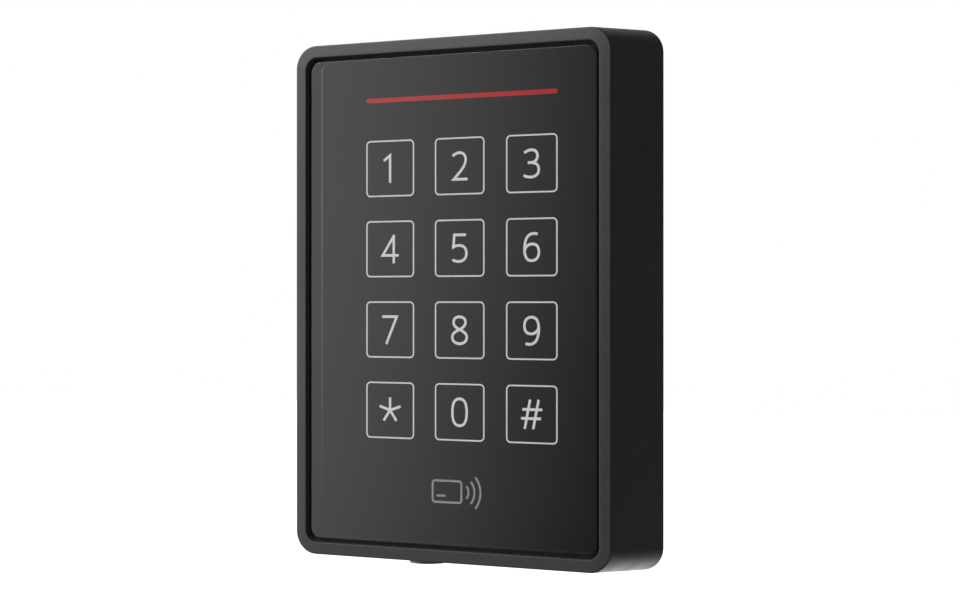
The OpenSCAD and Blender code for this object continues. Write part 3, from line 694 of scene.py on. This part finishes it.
def film_edge():
    """The pale cut edge of the legend film, a fine bead all round it, which carries a painted highlight."""
    width, height = 0.4, 0.22
    front = LEGEND_Y - height
    inner_w, inner_h, inner_r = LAYER_W - width, LAYER_H - width, LAYER_R - width
    bead = sweep("legend_edge", [
        (LAYER_W, LAYER_H, LAYER_R, front, 0.1),
        (LAYER_W, LAYER_H, LAYER_R, LEGEND_Y, 0),
        (inner_w, inner_h, inner_r, LEGEND_Y, 0),
        (inner_w, inner_h, inner_r, front, 0.1),
    ])
    finish_piece(bead, "reader", "legend_film", "film_edge")


def tamper_spring():
    """The plunger's coil, remade as a helix of round wire."""
    low, high = box_mm("tamper_spring")
    x, z = (low.x + high.x) / 2, (low.z + high.z) / 2
    coil_r = (high.x - low.x) / 2 - SPRING_WIRE_R
    length = high.y - low.y - 2 * SPRING_WIRE_R
    sides, steps = 10, 24
    rings = round(SPRING_TURNS * steps)
    verts, faces = [], []
    for i in range(rings + 1):
        turn = 2 * math.pi * i / steps
        for k in range(sides):
            angle = 2 * math.pi * k / sides
            reach = coil_r + SPRING_WIRE_R * math.cos(angle)
            verts.append((x + reach * math.cos(turn),
                          low.y + SPRING_WIRE_R * (1 + math.sin(angle)) + length * i / rings,
                          z - reach * math.sin(turn)))
    for i in range(rings):
        for k in range(sides):
            a, n = i * sides, (k + 1) % sides
            faces.append((a + k, a + n, a + sides + n, a + sides + k))
    faces.append(tuple(range(sides)))
    faces.append(tuple(reversed(range(rings * sides, (rings + 1) * sides))))
    coil = mesh_object("tamper_coil", verts, faces)
    finish_piece(coil, "reader", SLOTS["tamper_spring"], stands_for=["tamper_spring"])
    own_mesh(coil)


# ---------------------------------------------------------------------------------------------
# Printed legends
# ---------------------------------------------------------------------------------------------
# Each stroke starts at a point. Then a pair is a straight line and six numbers are a curve with
# two handles. Millimetres from the middle of the key, x to the right and z up.
GLYPHS = {
    "1": [[(-1.75, 1.85), (0.0, 3.05), (0.0, -3.4)]],
    "2": [[(-1.85, 2.35), (-1.2, 2.9, -0.5, 3.1, -0.05, 3.1), (1.0, 3.1, 1.65, 2.45, 1.65, 1.5),
           (1.65, 0.4, 0.95, -0.5, -0.2, -1.7), (-1.55, -3.07), (2.15, -3.07)]],
    "3": [[(-1.9, 2.45), (-1.3, 2.9, -0.7, 3.1, 0.0, 3.1), (1.0, 3.1, 1.5, 2.5, 1.5, 1.75),
           (1.5, 0.85, 0.9, 0.2, -0.2, 0.2), (-1.0, 0.2)],
          [(-0.4, 0.2), (1.1, 0.2, 1.85, -0.35, 1.85, -1.35), (1.85, -2.5, 1.05, -3.1, -0.35, -3.1),
           (-1.0, -3.1, -1.6, -2.95, -2.05, -2.65)]],
    "4": [[(2.4, -1.5), (-2.05, -1.5), (1.02, 3.02)], [(1.02, -3.4), (1.02, 3.35)]],
    "5": [[(1.7, 3.07), (-1.4, 3.07), (-1.65, 0.25),
           (-1.2, 0.5, -0.7, 0.62, -0.1, 0.62), (1.1, 0.62, 1.85, -0.05, 1.85, -1.15),
           (1.85, -2.4, 1.05, -3.1, -0.3, -3.1), (-0.9, -3.1, -1.5, -2.95, -1.9, -2.65)]],
    "6": [[(1.55, 2.95), (1.2, 3.06, 0.9, 3.1, 0.6, 3.1), (-1.0, 3.1, -1.85, 1.8, -1.85, -0.5),
           (-1.85, -2.2, -1.2, -3.1, 0.0, -3.1), (1.15, -3.1, 1.88, -2.35, 1.88, -1.1)],
          [(1.88, -1.25), (1.88, -1.1), (1.88, 0.1, 1.2, 0.72, 0.15, 0.72),
           (-0.9, 0.72, -1.75, -0.05, -1.82, -0.9)]],
    "7": [[(-2.2, 3.07), (1.85, 3.07), (-1.05, -3.4)]],
    "8": [[(0.0, 0.15), (1.15, 0.7, 1.6, 1.15, 1.6, 1.8), (1.6, 2.65, 0.95, 3.1, 0.0, 3.1),
           (-0.95, 3.1, -1.6, 2.65, -1.6, 1.8), (-1.6, 1.15, -1.15, 0.7, 0.0, 0.15)],
          [(0.0, 0.15), (1.45, -0.45, 1.95, -0.95, 1.95, -1.6), (1.95, -2.55, 1.1, -3.15, 0.0, -3.15),
           (-1.1, -3.15, -1.95, -2.55, -1.95, -1.6), (-1.95, -0.95, -1.45, -0.45, 0.0, 0.15)]],
    "0": [[(0.0, 3.12), (-1.3, 3.12, -1.93, 2.1, -1.93, 0.0), (-1.93, -2.1, -1.3, -3.12, 0.0, -3.12),
           (1.3, -3.12, 1.93, -2.1, 1.93, 0.0), (1.93, 2.1, 1.3, 3.12, 0.0, 3.12)]],
    "#": [[(-0.4, 3.35), (-1.8, -3.35)], [(1.8, 3.35), (0.4, -3.35)],
          [(-2.4, 1.1), (2.75, 1.1)], [(-2.75, -0.95), (2.4, -0.95)]],
}
GLYPHS["9"] = [[tuple(-c for c in step) for step in stroke] for stroke in GLYPHS["6"]]
GLYPHS["*"] = [[(0, 0), (STAR_ARM * math.cos(a), STAR_ARM * math.sin(a))]
               for a in (math.radians(90 + 72 * k) for k in range(5))]


def traced(stroke, steps=12):
    """The points of a stroke, with its curves sampled."""
    points = [Vector(stroke[0])]
    for step in stroke[1:]:
        if len(step) == 2:
            points.append(Vector(step))
            continue
        start = points[-1]
        one, two, end = Vector(step[0:2]), Vector(step[2:4]), Vector(step[4:6])
        for k in range(1, steps + 1):
            t = k / steps
            points.append(start * (1 - t) ** 3 + one * (3 * t * (1 - t) ** 2)
                          + two * (3 * t * t * (1 - t)) + end * t ** 3)
    return points


def ribbon(points, width, y0, y1, closed=False):
    """Vertices and faces of a flat band of that width along a line in X and Z, from y0 to y1."""
    if closed:
        points = points[:-1] if (points[0] - points[-1]).length < 1e-6 else points
    count = len(points)
    verts, faces = [], []
    for i, here in enumerate(points):
        before = points[i - 1] if closed or i else None
        after = points[(i + 1) % count] if closed or i < count - 1 else None
        into = (here - before).normalized() if before is not None else None
        out = (after - here).normalized() if after is not None else None
        into, out = into or out, out or into
        bisector = (into + out).normalized()
        across = Vector((-bisector.y, bisector.x))
        reach = width / 2 / max(bisector.dot(into), 0.4)
        for side in (1, -1):
            p = here + across * (reach * side)
            verts += [(p.x, y0, p.y), (p.x, y1, p.y)]
    last = count if closed else count - 1
    for i in range(last):
        a, b = i * 4, (i + 1) % count * 4
        faces += [(a, b, b + 2, a + 2), (a + 1, a + 3, b + 3, b + 1),
                  (a, a + 1, b + 1, b), (a + 2, b + 2, b + 3, a + 3)]
    if not closed:
        end = (count - 1) * 4
        faces += [(0, 2, 3, 1), (end, end + 1, end + 3, end + 2)]
    return verts, faces


def print_piece(name, strokes, width, centre):
    """A printed mark made of bands melted into one solid; each stroke is (points, closed)."""
    bands = []
    for points, closed in strokes:
        band = ribbon([p + Vector(centre) for p in points], width, LEGEND_Y - PRINT_T, LEGEND_Y, closed)
        bands.append(mesh_object(name, *band))
    whole, others = bands[0], bands[1:]
    if others:
        combine(whole, others, "UNION", use_self=True)
    return whole


def arc_points(centre, radius, start, end, steps=16):
    """Points on an arc, in degrees."""
    return [Vector((centre[0] + radius * math.cos(a), centre[1] + radius * math.sin(a)))
            for a in (math.radians(start + (end - start) * k / steps) for k in range(steps + 1))]


def round_frame(half_w, half_h, radius, centre=(0, 0)):
    """The centre line of a rounded rectangle."""
    return [Vector((x + centre[0], z + centre[1]))
            for x, _, z in outline(half_w, half_h, radius, 0, 8)]


def key_legends():
    """Twelve outlined keys with their digits and signs."""
    for row, line in enumerate(KEYS):
        for column, sign in enumerate(line):
            x = (column - 1) * KEY_PITCH
            z = KEY_MID_Z + (1.5 - row) * KEY_PITCH
            title = {"*": "star", "#": "hash"}.get(sign, sign)
            frame_line = [(round_frame(KEY_SIZE / 2, KEY_SIZE / 2, KEY_CORNER), True)]
            ring = print_piece(f"key_outline_{title}", frame_line, KEY_STROKE, (x, z))
            finish_piece(ring, "reader", "legend_film", "lit_legend")
            strokes = []
            for stroke in GLYPHS[sign]:
                points = traced(stroke)
                strokes.append((points, (points[0] - points[-1]).length < 1e-6))
            digit = print_piece(f"key_sign_{title}", strokes, GLYPH_STROKE, (x, z))
            finish_piece(digit, "reader", "legend_film", "lit_legend")


def card_mark():
    """A plain card with three waves beside it, for where a card is held."""
    card = [(round_frame(3.9, 2.5, 0.7, (-3.4, 0)), True),
            ([Vector((-6.2, -1.0)), Vector((-3.8, -1.0))], False)]
    waves = [(arc_points((0.2, 0), radius, -42, 42), False) for radius in (2.2, 3.8, 5.4)]
    mark = print_piece("card_mark", card + waves, MARK_STROKE, (0, MARK_Z))
    finish_piece(mark, "reader", "legend_film", "lit_mark")


# ---------------------------------------------------------------------------------------------
# CAD nodes that keep their own shape
# ---------------------------------------------------------------------------------------------
EASES = {
    "wall_bracket": 0.25, "rear_cover": 0.2, "terminal_plug": 0.2, "terminal_header": 0.2,
    "securing_screw": 0.12, "screw_washer": 0.08, "board_screws": 0.1, "rear_cover_screws": 0.06,
    "buzzer": 0.3, "bulk_capacitors": 0.4, "power_inductor": 0.3, "radio_module": 0.25,
    "tamper_switch": 0.2, "tamper_plunger": 0.2, "terminal_screws": 0.06, "hinge_pins": 0.15,
    "microcontroller": 0.1, "reader_chip": 0.08, "crystal": 0.15, "wall_gasket": 0.15,
}
OWN_LOOKS = {"cover_gasket": "gap_rubber"}


def dress_nodes():
    """Every CAD node gets its slot's material, and the larger ones an eased edge."""
    for name, node in NODES.items():
        material = MATERIALS[OWN_LOOKS.get(name, SLOTS[name])]
        if node.material_slots:
            for held in node.material_slots:
                held.material = material
        else:
            node.data.materials.append(material)
        if name in EASES:
            weld = node.modifiers.new("weld", "WELD")
            weld.merge_threshold = 1e-6
            ease = node.modifiers.new("ease", "BEVEL")
            ease.width = EASES[name] * MM
            ease.segments = 2
            ease.limit_method = "ANGLE"
            ease.angle_limit = math.radians(40)
            ease.harden_normals = True


# ---------------------------------------------------------------------------------------------
# Stage: floor, light and camera, in metres
# ---------------------------------------------------------------------------------------------
def floor():
    """A wide, plain, pale floor well below the reader. Only the camera sees it."""
    half, low = 6.0, -0.36
    corners = [(-half, -half, low), (half, -half, low), (half, half, low), (-half, half, low)]
    sheet = mesh_object("studio_floor", [Vector(c) / MM for c in corners], [(0, 1, 2, 3)])
    pale = Shader("studio_floor", Roughness=0.9, Emission_Strength=1.0)
    pale.surface.inputs["Emission Color"].default_value = (1, 1, 1, 1)
    pale.colour(pale.blend(pale.noise(300, 2), (0.90, 0.90, 0.90), (0.94, 0.94, 0.94)))
    sheet.data.materials.append(pale.material)
    sheet.visible_diffuse = False
    sheet.visible_glossy = False
    sheet.visible_transmission = False
    sheet.visible_shadow = False


def panel(name, place, towards, size, power, colour=(1, 1, 1)):
    """A soft rectangular lamp."""
    data = bpy.data.lights.new(name, "AREA")
    data.shape = "RECTANGLE"
    data.size, data.size_y = size
    data.energy = power
    data.color = colour
    lamp = bpy.data.objects.new(name, data)
    bpy.context.scene.collection.objects.link(lamp)
    lamp.location = place
    lamp.rotation_euler = (Vector(towards) - Vector(place)).to_track_quat("-Z", "Y").to_euler()
    return lamp


def sky():
    """White to the camera. To everything else dim, with a broad glow on the left that fades to the right."""
    world = bpy.data.worlds.new("studio")
    bpy.context.scene.world = world
    world.use_nodes = True
    tree = world.node_tree
    shade = tree.nodes["Background"]
    place = tree.nodes.new("ShaderNodeTexCoord")
    dot = tree.nodes.new("ShaderNodeVectorMath")
    dot.operation = "DOT_PRODUCT"
    turn, rise, full_within, none_beyond = (math.radians(angle) for angle in (75, 7, 38, 51.5))
    dot.inputs[1].default_value = (-math.sin(turn) * math.cos(rise), -math.cos(turn) * math.cos(rise),
                                   math.sin(rise))
    tree.links.new(place.outputs["Generated"], dot.inputs[0])
    ramp = tree.nodes.new("ShaderNodeMapRange")
    ramp.interpolation_type = "SMOOTHSTEP"
    ramp.inputs["From Min"].default_value = math.cos(none_beyond)
    ramp.inputs["From Max"].default_value = math.cos(full_within)
    ramp.inputs["To Min"].default_value = 0.12
    ramp.inputs["To Max"].default_value = 1.7
    tree.links.new(dot.outputs["Value"], ramp.inputs["Value"])
    path = tree.nodes.new("ShaderNodeLightPath")
    choose = tree.nodes.new("ShaderNodeMix")
    tree.links.new(path.outputs["Is Camera Ray"], choose.inputs[0])
    tree.links.new(ramp.outputs["Result"], choose.inputs[2])
    choose.inputs[3].default_value = 1.0
    tree.links.new(choose.outputs[0], shade.inputs["Strength"])
    shade.inputs["Color"].default_value = (1, 1, 1, 1)


def lights():
    """A soft key high on the left, a weak fill low on the right, and two lamps behind for the corners."""
    sky()
    panel("key_light", (-0.33, -0.33, 0.38), (0, 0, 0), (0.4, 0.4), 2.5)
    panel("fill_light", (0.40, -0.32, -0.36), (0, 0, 0), (0.4, 0.4), 0.32)
    panel("low_light", (-0.07, 0.54, -0.36), (0.02, 0, -0.06), (0.5, 0.3), 1.35)
    panel("high_light", (-0.16, 0.50, 0.40), (0.04, 0, 0.06), (0.4, 0.3), 0.14)


def camera():
    """The camera stands to the right of the panel, at mid height."""
    data = bpy.data.cameras.new("camera")
    data.sensor_width = 36
    data.lens = 81.4
    data.clip_start = 0.01
    stand = bpy.data.objects.new("camera", data)
    bpy.context.scene.collection.objects.link(stand)
    turn = math.radians(29.94)
    stand.location = (0.2555, FRONT_Y * MM - 0.4283, 0)
    stand.rotation_euler = (math.radians(90), 0, turn)
    bpy.context.scene.camera = stand


camera()
front_housing()
front_cover()
film_edge()
tamper_spring()
key_legends()
card_mark()
dress_nodes()
floor()
lights()
bpy.context.scene.view_settings.view_transform = "Standard"
